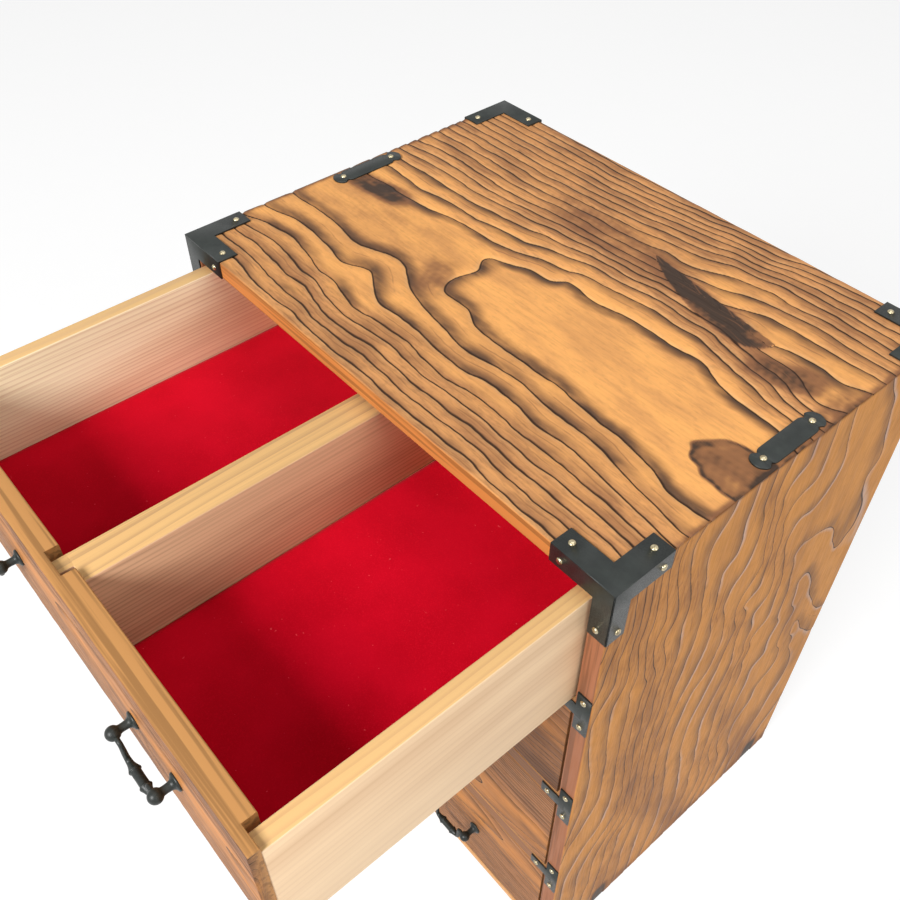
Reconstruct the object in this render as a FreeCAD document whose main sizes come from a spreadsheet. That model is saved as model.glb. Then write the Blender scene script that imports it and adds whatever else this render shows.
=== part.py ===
import FreeCAD, Part
import os
import re

# A small Japanese drawer chest (tansu): a mitred carcass of brushed cedar boards, four rebated drawers
# on runners, folded black irons at the corners and hanging bail handles on ball posts.
# Millimetres. X to the right, Y to the back, Z up; the floor is at 0. The origin lies under the middle of
# the chest as it stands, with its top drawer open.

SIZES = {
    # carcass
    "case_width": 280.0,
    "case_depth": 209.0,
    "case_height": 352.0,
    "panel_thick": 9.0,
    "foot_height": 17.5,
    "batten_width": 10.0,
    "batten_thick": 4.5,
    "batten_front_set": 40.0,
    "batten_back_set": 14.5,
    "batten_end_set": 0.3,
    "bottom_thick": 5.0,
    "back_thick": 4.0,
    "back_inset": 3.0,
    "rail_thick": 9.0,
    "rail_depth": 24.0,
    "case_housing": 3.0,
    "runner_width": 18.0,
    "top_row_less": 4.0,
    # drawers
    "front_thick": 10.0,
    "front_gap": 1.0,
    "top_gap": 1.2,
    "run_clear": 0.3,
    "rear_gap": 1.0,
    "side_thick": 7.5,
    "side_drop": 2.5,
    "front_housing": 5.5,
    "housing_play": 2.5,
    "drawer_back_thick": 7.0,
    "drawer_back_set": 5.0,
    "drawer_back_drop": 2.0,
    "back_housing": 3.0,
    "drawer_bottom_thick": 3.0,
    "bottom_groove": 3.0,
    "felt_drop": 49.8,
    "felt_thick": 1.2,
    "felt_gap": 0.4,
    "divider_thick": 16.0,
    "divider_tongue": 7.0,
    "divider_play": 3.5,
    "top_drawer_pull": 140.0,
    # handles
    "handle_offset": 62.5,
    "post_spacing": 30.0,
    "post_reach": 8.0,
    "ball_radius": 2.9,
    "neck_radius": 1.6,
    "flange_radius": 3.7,
    "flange_thick": 1.2,
    "spike_radius": 1.3,
    "spike_length": 7.0,
    "pin_radius": 1.0,
    "pin_clear": 0.08,
    "pin_depth": 3.4,
    "bore_spare": 0.4,
    "bail_half_width": 9.5,
    "bail_drop": 10.5,
    "bail_elbow": 1.6,
    "bail_corner": 2.6,
    "bail_wire": 1.1,
    "bail_grip": 1.9,
    "bail_grip_half": 3.8,
    "bail_collar": 2.4,
    # ironwork
    "iron_thick": 0.8,
    "iron_arm": 30.0,
    "iron_width": 9.7,
    "iron_edge_width": 8.6,
    "edge_plate_width": 9.6,
    "edge_plate_body": 25.0,
    "edge_plate_neck": 7.2,
    "edge_plate_length": 42.0,
    "edge_plate_inset": 1.8,
    "edge_plate_nail": 15.6,
    "stile_plate_width": 7.4,
    "stile_plate_height": 26.2,
    "stile_plate_inset": 0.3,
    "stile_plate_arm": 18.6,
    "stile_plate_arm_height": 7.2,
    "stile_plate_nail": 9.2,
    "arm_nail": 14.8,
    "nail_reach": 24.9,
    "nail_edge": 4.75,
    "nail_head": 1.75,
    "nail_crown": 0.8,
    "nail_height": 0.9,
    "nail_shank": 0.6,
    "nail_length": 4.0,
}

doc = FreeCAD.newDocument("tansu")
sheet = doc.addObject("Spreadsheet::Sheet", "Sizes")
for line, (alias, value) in enumerate(SIZES.items(), start=1):
    sheet.set(f"A{line}", alias)
    sheet.set(f"B{line}", str(value))
    sheet.setAlias(f"B{line}", alias)
doc.recompute()

NODES = {}

# The case stands behind the origin by half of what the open drawer and its handles add in front of it.
CASE_Y = "((top_drawer_pull + post_reach + ball_radius - iron_thick - nail_height)/2)"

# Places that many pieces share, as expressions of the sheet's names, with Y from the middle of the case.
INNER_HALF = "(case_width/2 - panel_thick)"
HOUSED_HALF = f"({INNER_HALF} + case_housing)"
FRONT_Y = "(-case_depth/2)"
BACK_Y = "(case_depth/2 - back_inset - back_thick)"
ROW_OPEN = "((case_height - panel_thick - foot_height - bottom_thick - 3*rail_thick + top_row_less)/4)"
SIDE_OUT = f"({INNER_HALF} - front_gap)"
SIDE_IN = f"({SIDE_OUT} - side_thick)"

X_AXIS = FreeCAD.Vector(1, 0, 0)
Y_AXIS = FreeCAD.Vector(0, 1, 0)
Z_AXIS = FreeCAD.Vector(0, 0, 1)
Y_UP = FreeCAD.Rotation(X_AXIS, 90)
X_UP = FreeCAD.Rotation(FreeCAD.Vector(1, 1, 1), 240)
# Turns that carry the Z axis of a round bar to each of the six ways.
AIM = {
    "+x": FreeCAD.Rotation(Y_AXIS, 90),
    "-x": FreeCAD.Rotation(Y_AXIS, -90),
    "+y": FreeCAD.Rotation(X_AXIS, -90),
    "-y": FreeCAD.Rotation(X_AXIS, 90),
    "+z": FreeCAD.Rotation(),
    "-z": FreeCAD.Rotation(X_AXIS, 180),
}
AWAY = {"+x": "-x", "-x": "+x", "+y": "-y", "-y": "+y", "+z": "-z", "-z": "+z"}


def scoped(expression):
    """Point every name of an expression at its cell in the sheet."""
    return re.sub(r"[a-z_]+", r"Sizes.\g<0>", expression)


def bind(piece, sizes, place, turn=AIM["+z"]):
    """Bind a primitive's sizes to expressions, and its position, given from the middle of the case."""
    for prop, expression in sizes.items():
        piece.setExpression(prop, scoped(expression))
    piece.Placement = FreeCAD.Placement(FreeCAD.Vector(0, 0, 0), turn)
    x, y, z = place
    piece.setExpression(".Placement.Base.x", scoped(x))
    piece.setExpression(".Placement.Base.y", scoped(f"{y} + {CASE_Y}"))
    piece.setExpression(".Placement.Base.z", scoped(z))
    return piece


def box(name, low, size):
    """A board: its low corner and its sizes along X, Y and Z."""
    piece = doc.addObject("Part::Box", name)
    return bind(piece, dict(zip(("Length", "Width", "Height"), size)), low)


def rod(name, radius, length, start, turn):
    """A round bar from a start point along the turned Z axis."""
    piece = doc.addObject("Part::Cylinder", name)
    return bind(piece, {"Radius": radius, "Height": length}, start, turn)


def cone(name, radius, end_radius, length, start, turn):
    """A tapered round bar from a start point along the turned Z axis."""
    piece = doc.addObject("Part::Cone", name)
    return bind(piece, {"Radius1": radius, "Radius2": end_radius, "Height": length}, start, turn)


def bend(name, radius, wire, centre, turn):
    """A quarter turn of round wire about a centre, in the turned XY plane, from X to Y."""
    piece = doc.addObject("Part::Torus", name)
    piece.Angle3 = 90
    return bind(piece, {"Radius1": radius, "Radius2": wire}, centre, turn)


def fuse(name, pieces):
    """Join overlapping or touching shapes into one solid."""
    joined = doc.addObject("Part::MultiFuse", name)
    joined.Shapes = pieces
    joined.Refine = True
    return joined


def cut(name, base, tools):
    """Take one or more tools out of a base."""
    tool = tools[0]
    if len(tools) > 1:
        tool = fuse(f"{name}_cutters", tools)
    left = doc.addObject("Part::Cut", name)
    left.Base = base
    left.Tool = tool
    return left


def group(name, pieces):
    """Keep several separate solids together in one piece."""
    held = doc.addObject("Part::Compound", name)
    held.Links = pieces
    return held


def keep(name, piece):
    """Name a finished piece after the node it stands for."""
    piece.Label = name
    NODES[name] = piece
    return piece


def rail_floor(level):
    """Height of the underside of a rail, counted up from the lowest."""
    return f"(foot_height + bottom_thick + {level + 1}*{ROW_OPEN} + {level}*rail_thick)"


def row_floor(row):
    """Height of the floor of a drawer row, counted up from the lowest."""
    return f"(foot_height + bottom_thick + {row}*({ROW_OPEN} + rail_thick))"


def mirrored(side, near, far):
    """Low end of a span that lies from near to far on the right, or its mirror image on the left."""
    return f"({near})" if side > 0 else f"(-({far}))"


# The carcass: the sides and the top meet in 45 degree mitres, so each board is a tapered prism.
top_blank = bind(
    doc.addObject("Part::Wedge", "top_blank"),
    {
        "Ymin": "0*panel_thick",
        "Ymax": "panel_thick",
        "Xmin": f"-{INNER_HALF}",
        "Xmax": INNER_HALF,
        "X2min": "-case_width/2",
        "X2max": "case_width/2",
        "Zmin": "-case_depth/2",
        "Zmax": "case_depth/2",
        "Z2min": "-case_depth/2",
        "Z2max": "case_depth/2",
    },
    ("0*case_width", "0*case_depth", "case_height - panel_thick"),
    Y_UP,
)


def side_blank(name, side):
    """A side board: full height on its outer face, a board's thickness shorter inside."""
    inner, outer = "case_height - panel_thick", "case_height"
    start, end = (inner, outer) if side > 0 else (outer, inner)
    return bind(
        doc.addObject("Part::Wedge", name),
        {
            "Ymin": "0*panel_thick",
            "Ymax": "panel_thick",
            "Xmin": "0*case_height",
            "Xmax": start,
            "X2min": "0*case_height",
            "X2max": end,
            "Zmin": "-case_depth/2",
            "Zmax": "case_depth/2",
            "Z2min": "-case_depth/2",
            "Z2max": "case_depth/2",
        },
        (mirrored(side, INNER_HALF, "case_width/2"), "0*case_depth", "0*case_height"),
        X_UP,
    )


back_low = (f"-{HOUSED_HALF}", BACK_Y, "foot_height")
back_size = (f"2*{HOUSED_HALF}", "back_thick", "case_height - panel_thick + case_housing - foot_height")
keep("back_panel", box("back_board", back_low, back_size))
back_groove = box("back_groove", back_low, back_size)

bottom_low = (f"-{HOUSED_HALF}", FRONT_Y, "foot_height")
bottom_size = (f"2*{HOUSED_HALF}", f"{BACK_Y} - {FRONT_Y}", "bottom_thick")
keep("bottom_panel", box("bottom_board", bottom_low, bottom_size))
case_housings = [back_groove, box("bottom_housing", bottom_low, bottom_size)]

runners = []
for level, rail_name in enumerate(("lower_rail", "middle_rail", "upper_rail")):
    rail_low = (f"-{HOUSED_HALF}", FRONT_Y, rail_floor(level))
    keep(rail_name, box(f"{rail_name}_board", rail_low, (f"2*{HOUSED_HALF}", "rail_depth", "rail_thick")))
    housing_size = (f"2*{HOUSED_HALF}", f"{BACK_Y} - {FRONT_Y}", "rail_thick")
    case_housings.append(box(f"{rail_name}_housing", rail_low, housing_size))
    for side, hand in ((-1, "left"), (1, "right")):
        runner_x = mirrored(side, f"{INNER_HALF} - runner_width", HOUSED_HALF)
        runners.append(box(
            f"{rail_name}_{hand}_runner",
            (runner_x, f"{FRONT_Y} + rail_depth", rail_floor(level)),
            ("runner_width + case_housing", f"{BACK_Y} - {FRONT_Y} - rail_depth", "rail_thick"),
        ))
keep("drawer_runners", group("runner_set", runners))

# Two foot battens lie in notches across the lower edges of the sides, their ends set back a little.
batten_places = (
    ("front", f"{FRONT_Y} + batten_front_set"),
    ("back", "case_depth/2 - batten_back_set - batten_width"),
)
for place, batten_y in batten_places:
    batten_half = "(case_width/2 - batten_end_set)"
    keep(f"{place}_foot_batten", box(
        f"{place}_batten", (f"-{batten_half}", batten_y, "0*foot_height"),
        (f"2*{batten_half}", "batten_width", "batten_thick")))
    case_housings.append(box(
        f"{place}_batten_notch", ("-case_width/2", batten_y, "0*foot_height"),
        ("case_width", "batten_width", "batten_thick")))

keep("top_panel", cut("top_board", top_blank, [back_groove]))
case_cutters = fuse("case_cutters", case_housings)
for side, hand in ((-1, "left"), (1, "right")):
    keep(f"{hand}_side_panel", cut(f"{hand}_side_board", side_blank(f"{hand}_blank", side), [case_cutters]))


def make_post(name, x, face_y, z, inward):
    """A turned post: spike in the wood, flange on it, neck and a ball bored for the bail's pin."""
    ball = doc.addObject("Part::Sphere", f"{name}_ball")
    bind(ball, {"Radius": "ball_radius"}, (x, f"{face_y} - post_reach", z))
    solid = fuse(f"{name}_solid", [
        rod(f"{name}_spike", "spike_radius", "spike_length", (x, face_y, z), AIM["+y"]),
        cone(f"{name}_flange", "flange_radius", "0.65*flange_radius", "flange_thick", (x, face_y, z),
             AIM["-y"]),
        rod(f"{name}_neck", "neck_radius", "post_reach", (x, face_y, z), AIM["-y"]),
        ball,
    ])
    mouth = f"{x} + {inward}*ball_radius"
    turn = AIM["-x"] if inward > 0 else AIM["+x"]
    bore = rod(f"{name}_bore", "pin_radius + pin_clear", "pin_depth + bore_spare",
               (mouth, f"{face_y} - post_reach", z), turn)
    return cut(name, solid, [bore])


def make_bail(name, x, face_y, z):
    """A hanging bail: pins in the balls, two bent arms and a stepped grip with flared collars."""
    y = f"{face_y} - post_reach"
    low = f"{z} - bail_drop"
    grip_end = "(bail_half_width - bail_corner)"
    pieces = [
        rod(f"{name}_grip", "bail_grip", "2*bail_grip_half", (f"{x} - bail_grip_half", y, low), AIM["+x"]),
    ]
    for side, hand in ((-1, "left"), (1, "right")):
        out = AIM["+x"] if side > 0 else AIM["-x"]
        arm_x = f"{x} + {side}*bail_half_width"
        bow_x = f"{arm_x} + {side}*bail_elbow"
        pin_length = "(post_spacing/2 - ball_radius + pin_depth - bail_half_width - bail_elbow)"
        facing = FreeCAD.Rotation(Z_AXIS, 0 if side > 0 else 180)
        corner_turn = facing * FreeCAD.Rotation(X_AXIS, -90)
        elbow_turn = facing * FreeCAD.Rotation(Z_AXIS, 180) * FreeCAD.Rotation(X_AXIS, 90)
        pieces += [
            cone(f"{name}_{hand}_collar", "bail_collar", "bail_wire", f"{grip_end} - bail_grip_half",
                 (f"{x} + {side}*bail_grip_half", y, low), out),
            bend(f"{name}_{hand}_corner", "bail_corner", "bail_wire",
                 (f"{x} + {side}*{grip_end}", y, f"{low} + bail_corner"), corner_turn),
            rod(f"{name}_{hand}_arm", "bail_wire", "bail_drop - bail_corner - bail_elbow",
                (arm_x, y, f"{low} + bail_corner"), AIM["+z"]),
            bend(f"{name}_{hand}_elbow", "bail_elbow", "bail_wire", (bow_x, y, f"{z} - bail_elbow"),
                 elbow_turn),
            rod(f"{name}_{hand}_pin", "pin_radius", pin_length, (bow_x, y, z), out),
        ]
    return fuse(name, pieces)


def make_drawer(drawer, row, less, pull, divided):
    """One drawer: a rebated front, lower sides, back and bottom, felt, posts and bails."""
    floor = f"({row_floor(row)} + run_clear)"
    height = f"({ROW_OPEN} - {less} - run_clear - top_gap)"
    top = f"({floor} + {height})"
    rim = f"({top} - side_drop)"
    face = f"({FRONT_Y} - {pull})"
    inside = f"({face} + front_thick)"
    tail = f"({BACK_Y} - rear_gap - {pull})"
    back_front = f"({tail} - drawer_back_set - drawer_back_thick)"
    bed = f"({top} - felt_drop - felt_thick)"
    handle_z = f"({floor} + {height}/2)"

    bottom_half = f"({SIDE_IN} + bottom_groove)"
    bottom_low = (f"-{bottom_half}", f"{inside} - bottom_groove", f"{bed} - drawer_bottom_thick")
    bottom_size = (f"2*{bottom_half}", f"{tail} - drawer_back_set - {inside} + bottom_groove",
                   "drawer_bottom_thick")
    keep(f"{drawer}_bottom", box(f"{drawer}_bottom_board", bottom_low, bottom_size))
    bottom_slot = box(f"{drawer}_bottom_slot", bottom_low, bottom_size)

    back_half = f"({SIDE_IN} + back_housing)"
    back_low = (f"-{back_half}", back_front, bed)
    back_size = (f"2*{back_half}", "drawer_back_thick", f"{rim} - drawer_back_drop - {bed}")
    keep(f"{drawer}_back", box(f"{drawer}_back_board", back_low, back_size))
    back_slot = box(f"{drawer}_back_slot", back_low, back_size)

    # The front laps over the ends of the sides, which lie flush in a rebate wider than they are thick.
    blank = box(f"{drawer}_front_blank", (f"-{SIDE_OUT}", face, floor),
                (f"2*{SIDE_OUT}", "front_thick", height))
    front_cuts = [bottom_slot]
    housing_y = f"{inside} - front_housing"
    for side, hand in ((-1, "left"), (1, "right")):
        side_low = (mirrored(side, SIDE_IN, SIDE_OUT), housing_y, floor)
        board = box(f"{drawer}_{hand}_blank", side_low,
                    ("side_thick", f"{tail} - {inside} + front_housing", f"{rim} - {floor}"))
        keep(f"{drawer}_{hand}_side", cut(f"{drawer}_{hand}_board", board, [bottom_slot, back_slot]))
        slot_low = (mirrored(side, f"{SIDE_IN} - housing_play", SIDE_OUT), housing_y, floor)
        front_cuts.append(box(f"{drawer}_{hand}_front_rebate", slot_low,
                              ("side_thick + housing_play", "front_housing", height)))

    felt_y = f"{inside} + felt_gap"
    felt_length = f"{back_front} - {inside} - 2*felt_gap"
    if divided:
        slot_low = ("-divider_thick/2 - divider_play", housing_y, bed)
        front_cuts.append(box(f"{drawer}_divider_slot", slot_low,
                              ("divider_tongue + 2*divider_play", "front_housing", f"{top} - {bed}")))
        keep(f"{drawer}_divider", fuse(f"{drawer}_divider_board", [
            box(f"{drawer}_divider_web", ("-divider_thick/2", inside, bed),
                ("divider_thick", f"{back_front} - {inside}", f"{rim} - {bed}")),
            box(f"{drawer}_divider_tongue", ("-divider_thick/2", housing_y, bed),
                ("divider_tongue", "front_housing", f"{rim} - {bed}")),
        ]))
        for side, hand in ((-1, "left"), (1, "right")):
            felt_x = mirrored(side, "divider_thick/2 + felt_gap", f"{SIDE_IN} - felt_gap")
            keep(f"{drawer}_{hand}_felt", box(
                f"{drawer}_{hand}_cloth", (felt_x, felt_y, bed),
                (f"{SIDE_IN} - divider_thick/2 - 2*felt_gap", felt_length, "felt_thick")))
    else:
        keep(f"{drawer}_felt", box(f"{drawer}_cloth", (f"-{SIDE_IN} + felt_gap", felt_y, bed),
                                   (f"2*({SIDE_IN} - felt_gap)", felt_length, "felt_thick")))

    posts = []
    for side, hand in ((-1, "left"), (1, "right")):
        handle_x = f"({side}*handle_offset)"
        for end in (-1, 1):
            post_x = f"({handle_x} + {end}*post_spacing/2)"
            label = f"{drawer}_{hand}_post_{'right' if end > 0 else 'left'}"
            posts.append(make_post(label, post_x, face, handle_z, -end))
            front_cuts.append(rod(f"{label}_hole", "spike_radius", "spike_length",
                                  (post_x, face, handle_z), AIM["+y"]))
        keep(f"{drawer}_{hand}_bail", make_bail(f"{drawer}_{hand}_loop", handle_x, face, handle_z))
    keep(f"{drawer}_handle_posts", group(f"{drawer}_post_set", posts))
    keep(f"{drawer}_front", cut(f"{drawer}_front_board", blank, front_cuts))


make_drawer("bottom_drawer", 0, "0*top_row_less", "0*top_drawer_pull", False)
make_drawer("third_drawer", 1, "0*top_row_less", "0*top_drawer_pull", False)
make_drawer("second_drawer", 2, "0*top_row_less", "0*top_drawer_pull", False)
make_drawer("top_drawer", 3, "top_row_less", "top_drawer_pull", True)


def outer(side, half, length):
    """Low end of a strip that ends a sheet's thickness outside a face at plus or minus half."""
    return f"({half} + iron_thick - ({length}))" if side > 0 else f"(-({half}) - iron_thick)"


def skin(side, half):
    """Low end of a sheet that lies on a face at plus or minus half."""
    return f"({half})" if side > 0 else f"(-({half}) - iron_thick)"


nails = []


def nail(x, y, z, way):
    """A dome-headed nail standing on a face at a point, its shank driven into the wood."""
    name = f"nail_{len(nails) + 1}"
    nails.append(fuse(name, [
        cone(f"{name}_head", "nail_head", "nail_crown", "nail_height", (x, y, z), AIM[way]),
        rod(f"{name}_shank", "nail_shank", "nail_length", (x, y, z), AIM[AWAY[way]]),
    ]))


HALF_W = "case_width/2"
HALF_D = "case_depth/2"
TOP_Z = "case_height"
for side, hand in ((-1, "left"), (1, "right")):
    side_way = "+x" if side > 0 else "-x"
    for end, place in ((-1, "front"), (1, "back")):
        end_way = "+y" if end > 0 else "-y"
        arm = "(iron_arm + iron_thick)"
        wide = "(iron_width + iron_thick)"
        edge = "(iron_edge_width + iron_thick)"
        name = f"top_{place}_{hand}_iron"
        keep(name, fuse(f"{name}_sheet", [
            box(f"{name}_top_x", (outer(side, HALF_W, arm), outer(end, HALF_D, wide), TOP_Z),
                (arm, wide, "iron_thick")),
            box(f"{name}_top_y", (outer(side, HALF_W, wide), outer(end, HALF_D, arm), TOP_Z),
                (wide, arm, "iron_thick")),
            box(f"{name}_end_x", (outer(side, HALF_W, arm), skin(end, HALF_D), f"{TOP_Z} - iron_edge_width"),
                (arm, "iron_thick", edge)),
            box(f"{name}_end_z", (outer(side, HALF_W, edge), skin(end, HALF_D), f"{TOP_Z} - iron_arm"),
                (edge, "iron_thick", arm)),
            box(f"{name}_side_y", (skin(side, HALF_W), outer(end, HALF_D, arm), f"{TOP_Z} - iron_width"),
                ("iron_thick", arm, wide)),
            box(f"{name}_side_z", (skin(side, HALF_W), outer(end, HALF_D, wide), f"{TOP_Z} - iron_arm"),
                ("iron_thick", wide, arm)),
        ]))
        face_x = f"{side}*({HALF_W} + iron_thick)"
        face_y = f"{end}*({HALF_D} + iron_thick)"
        near_x = f"{side}*({HALF_W} - nail_edge)"
        far_x = f"{side}*({HALF_W} - nail_reach)"
        near_y = f"{end}*({HALF_D} - nail_edge)"
        far_y = f"{end}*({HALF_D} - nail_reach)"
        nail(far_x, near_y, f"{TOP_Z} + iron_thick", "+z")
        nail(near_x, far_y, f"{TOP_Z} + iron_thick", "+z")
        nail(far_x, face_y, f"{TOP_Z} - nail_edge", end_way)
        nail(near_x, face_y, f"{TOP_Z} - nail_reach", end_way)
        nail(face_x, far_y, f"{TOP_Z} - nail_edge", side_way)
        nail(face_x, near_y, f"{TOP_Z} - nail_reach", side_way)

    name = f"{hand}_edge_plate"
    plate_x = f"{side}*({HALF_W} - edge_plate_inset - edge_plate_width/2)"
    neck = "(edge_plate_length - edge_plate_width)"
    pieces = [
        box(f"{name}_body", (f"{plate_x} - edge_plate_width/2", "-edge_plate_body/2", TOP_Z),
            ("edge_plate_width", "edge_plate_body", "iron_thick")),
        box(f"{name}_neck", (f"{plate_x} - edge_plate_neck/2", f"-{neck}/2", TOP_Z),
            ("edge_plate_neck", neck, "iron_thick")),
    ]
    for end in (-1, 1):
        head = rod(f"{name}_head_{end + 1}", "edge_plate_width/2", "iron_thick",
                   (plate_x, f"{end}*{neck}/2", TOP_Z), FreeCAD.Rotation(Z_AXIS, 0 if end > 0 else 180))
        head.Angle = 180
        pieces.append(head)
        nail(plate_x, f"{end}*edge_plate_nail", f"{TOP_Z} + iron_thick", "+z")
    keep(name, fuse(f"{name}_sheet", pieces))

stile_plates = []
for level in range(3):
    middle = f"({rail_floor(level)} + rail_thick/2)"
    for side, hand in ((-1, "left"), (1, "right")):
        name = f"stile_plate_{level + 1}_{hand}"
        plate_out = f"({HALF_W} - stile_plate_inset)"
        plate_in = f"({plate_out} - stile_plate_width)"
        arm_in = f"({HALF_W} - stile_plate_arm)"
        face_y = f"{FRONT_Y} - iron_thick"
        stile_plates.append(fuse(name, [
            box(f"{name}_upright", (mirrored(side, plate_in, plate_out), face_y,
                                    f"{middle} - stile_plate_height/2"),
                ("stile_plate_width", "iron_thick", "stile_plate_height")),
            box(f"{name}_arm", (mirrored(side, arm_in, plate_out), face_y,
                                f"{middle} - stile_plate_arm_height/2"),
                (f"{plate_out} - {arm_in}", "iron_thick", "stile_plate_arm_height")),
        ]))
        upright_x = f"{side}*({plate_out} - stile_plate_width/2)"
        nail(upright_x, face_y, f"{middle} + stile_plate_nail", "-y")
        nail(upright_x, face_y, f"{middle} - stile_plate_nail", "-y")
        nail(f"{side}*({HALF_W} - arm_nail)", face_y, middle, "-y")
keep("stile_plates", group("stile_plate_set", stile_plates))
keep("dome_nails", group("nail_set", nails))

doc.recompute()
for piece in doc.Objects:
    if "Invalid" in piece.State or "Error" in piece.State:
        raise RuntimeError(f"{piece.Name} did not rebuild: {piece.State}")
os.makedirs("parts", exist_ok=True)
for name, piece in NODES.items():
    if piece.Shape.isNull() or not piece.Shape.isValid():
        raise RuntimeError(f"{name} has no valid shape")
    piece.Shape.exportStep(f"parts/{name}.step")
    print(name, len(piece.Shape.Solids), "solid(s)", round(piece.Shape.Volume, 1), "mm3")
print(len(NODES), "pieces written")
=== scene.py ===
# %% [markdown]
# # A small tansu in brushed, charred cedar
# The chest comes from its CAD model as plain solids, each piece in its true place. This lesson dresses them:
# boards whose growth rings are burnt and brushed into relief, pale drawer boxes lined with red felt,
# black irons, brass nails and hanging bails. Everything is in metres, in the frame of the CAD model.

# %% Load the chest
import bpy
import numpy as np
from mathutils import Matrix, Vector


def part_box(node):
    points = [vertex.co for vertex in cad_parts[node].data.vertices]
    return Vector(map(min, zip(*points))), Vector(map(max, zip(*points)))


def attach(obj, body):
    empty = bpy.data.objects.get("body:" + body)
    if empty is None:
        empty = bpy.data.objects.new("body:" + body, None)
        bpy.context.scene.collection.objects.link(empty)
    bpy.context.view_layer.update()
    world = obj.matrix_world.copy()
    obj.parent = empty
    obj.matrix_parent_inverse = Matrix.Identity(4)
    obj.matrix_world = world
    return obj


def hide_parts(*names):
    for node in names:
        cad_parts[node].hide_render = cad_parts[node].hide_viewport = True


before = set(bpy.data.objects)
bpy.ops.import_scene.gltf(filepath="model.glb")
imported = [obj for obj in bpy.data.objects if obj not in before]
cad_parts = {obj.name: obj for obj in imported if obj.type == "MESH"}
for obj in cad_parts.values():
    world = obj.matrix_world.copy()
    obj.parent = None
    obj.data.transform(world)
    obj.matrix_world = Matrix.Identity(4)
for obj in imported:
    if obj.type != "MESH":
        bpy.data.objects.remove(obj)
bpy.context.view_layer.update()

MM = 0.001
scene = bpy.context.scene
print(len(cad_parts), "pieces from the CAD model")

# %% [markdown]
# ## Where the picture was taken from
# The eye was worked out from the straight edges of the case: it stands above the right-hand front corner
# and looks down over the top. The numbers are shares of the case's width, counted from its front left foot,
# so they stay right if the chest is made in another size.

# %% Camera
case_low, case_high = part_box("left_side_panel")[0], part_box("right_side_panel")[1]
case_width = case_high.x - case_low.x
eye = Vector((case_low.x, case_low.y, 0.0)) + case_width * Vector((1.40227, -0.60492, 2.22770))
gaze = Vector((-0.52860, 0.45348, -0.71760))
SENSOR = 36.0
FOCAL_PIXELS, PICTURE_PIXELS = 991.7, 900
camera = bpy.data.objects.new("camera", bpy.data.cameras.new("camera"))
camera.data.sensor_width = SENSOR
camera.data.lens = SENSOR * FOCAL_PIXELS / PICTURE_PIXELS
camera.location = eye
camera.rotation_euler = gaze.to_track_quat("-Z", "Y").to_euler()
scene.collection.objects.link(camera)
scene.camera = camera
scene.view_settings.view_transform = "Standard"
print("the eye stands at", [round(c, 3) for c in eye])

# %% [markdown]
# ## From arrays to meshes
# Each new piece is worked out as arrays of points, in one or more tubes: a closed loop of points is carried
# through many stations, so neighbours join in four-sided faces and one face shuts each end. Four helpers
# put coordinates together, join the points, turn the faces outwards and hang the finished piece on the body
# it moves with.


# %% Mesh helpers
def points_of(x, y, z):
    """Coordinates in arrays that fit together, as one array of points."""
    return np.stack(np.broadcast_arrays(x, y, z), axis=-1)


def tube(points):
    """Faces of a grid of stations by closed loop: a quad between neighbours and one face on each end."""
    stations, around = points.shape[:2]
    index = np.arange(stations * around).reshape(stations, around)
    ahead = np.roll(index, -1, axis=1)
    quads = np.stack([index[:-1], ahead[:-1], ahead[1:], index[1:]], axis=-1).reshape(-1, 4)
    return [quads, index[:1, ::-1], index[-1:]]


def enclosed(points, faces):
    """Six times the volume inside the faces: the sum of the corner products of their fans of triangles."""
    total = 0.0
    for corners in faces:
        for k in range(1, corners.shape[1] - 1):
            across = np.cross(points[corners[:, k]], points[corners[:, k + 1]])
            total += float(np.sum(points[corners[:, 0]] * across))
    return total


def make_piece(name, shells, body, material, stands_for, marks=None):
    """One mesh from closed tubes, its faces outwards, with named marks for the finish to read.

    The piece rides on a body, has a slot for its material and stands for the CAD pieces that it replaces.
    """
    faces, start = [], 0
    for shell in shells:
        flat = shell.reshape(-1, 3)
        sides = tube(shell)
        if enclosed(flat, sides) < 0:
            sides = [corners[:, ::-1] for corners in sides]
        faces += [corners + start for corners in sides]
        start += len(flat)
    points = np.concatenate([shell.reshape(-1, 3) for shell in shells])
    loops = np.concatenate([corners.ravel() for corners in faces]).astype(np.int32)
    counts = np.concatenate([np.full(len(corners), corners.shape[1]) for corners in faces])
    mesh = bpy.data.meshes.new(name)
    mesh.vertices.add(len(points))
    mesh.vertices.foreach_set("co", points.astype(np.float32).ravel())
    mesh.loops.add(len(loops))
    mesh.loops.foreach_set("vertex_index", loops)
    mesh.polygons.add(len(counts))
    mesh.polygons.foreach_set("loop_start", (np.cumsum(counts) - counts).astype(np.int32))
    mesh.polygons.foreach_set("use_smooth", counts == 4)
    mesh.update(calc_edges=True)
    mesh.validate()
    for mark, values in (marks or {}).items():
        layer = mesh.attributes.new(mark, "FLOAT", "POINT")
        layer.data.foreach_set("value", values.astype(np.float32).ravel())
    mesh.materials.append(material)
    piece = bpy.data.objects.new(name, mesh)
    scene.collection.objects.link(piece)
    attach(piece, body)
    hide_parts(*stands_for)
    print(name, len(points), "points")
    return piece


# %% [markdown]
# ## Finishes from nodes
# A finish is a small network: attributes and object coordinates go in, a colour and a roughness come out.
# A few helpers keep the networks readable, and all work on the network that was opened last. One adds a node
# and links or sets its inputs; the others do sums, ease between two limits and lay colours over each other.
# Colours are written as they look on a screen, from 0 to 255, and turned into light values when they are set.


# %% Node helpers
def screen(colour):
    """A screen colour as light values: the sRGB curve, part straight and part power."""
    value = np.array(colour) / 255
    light = np.where(value <= 0.04045, value / 12.92, ((value + 0.055) / 1.055) ** 2.4)
    return (*light.tolist(), 1.0)


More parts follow.
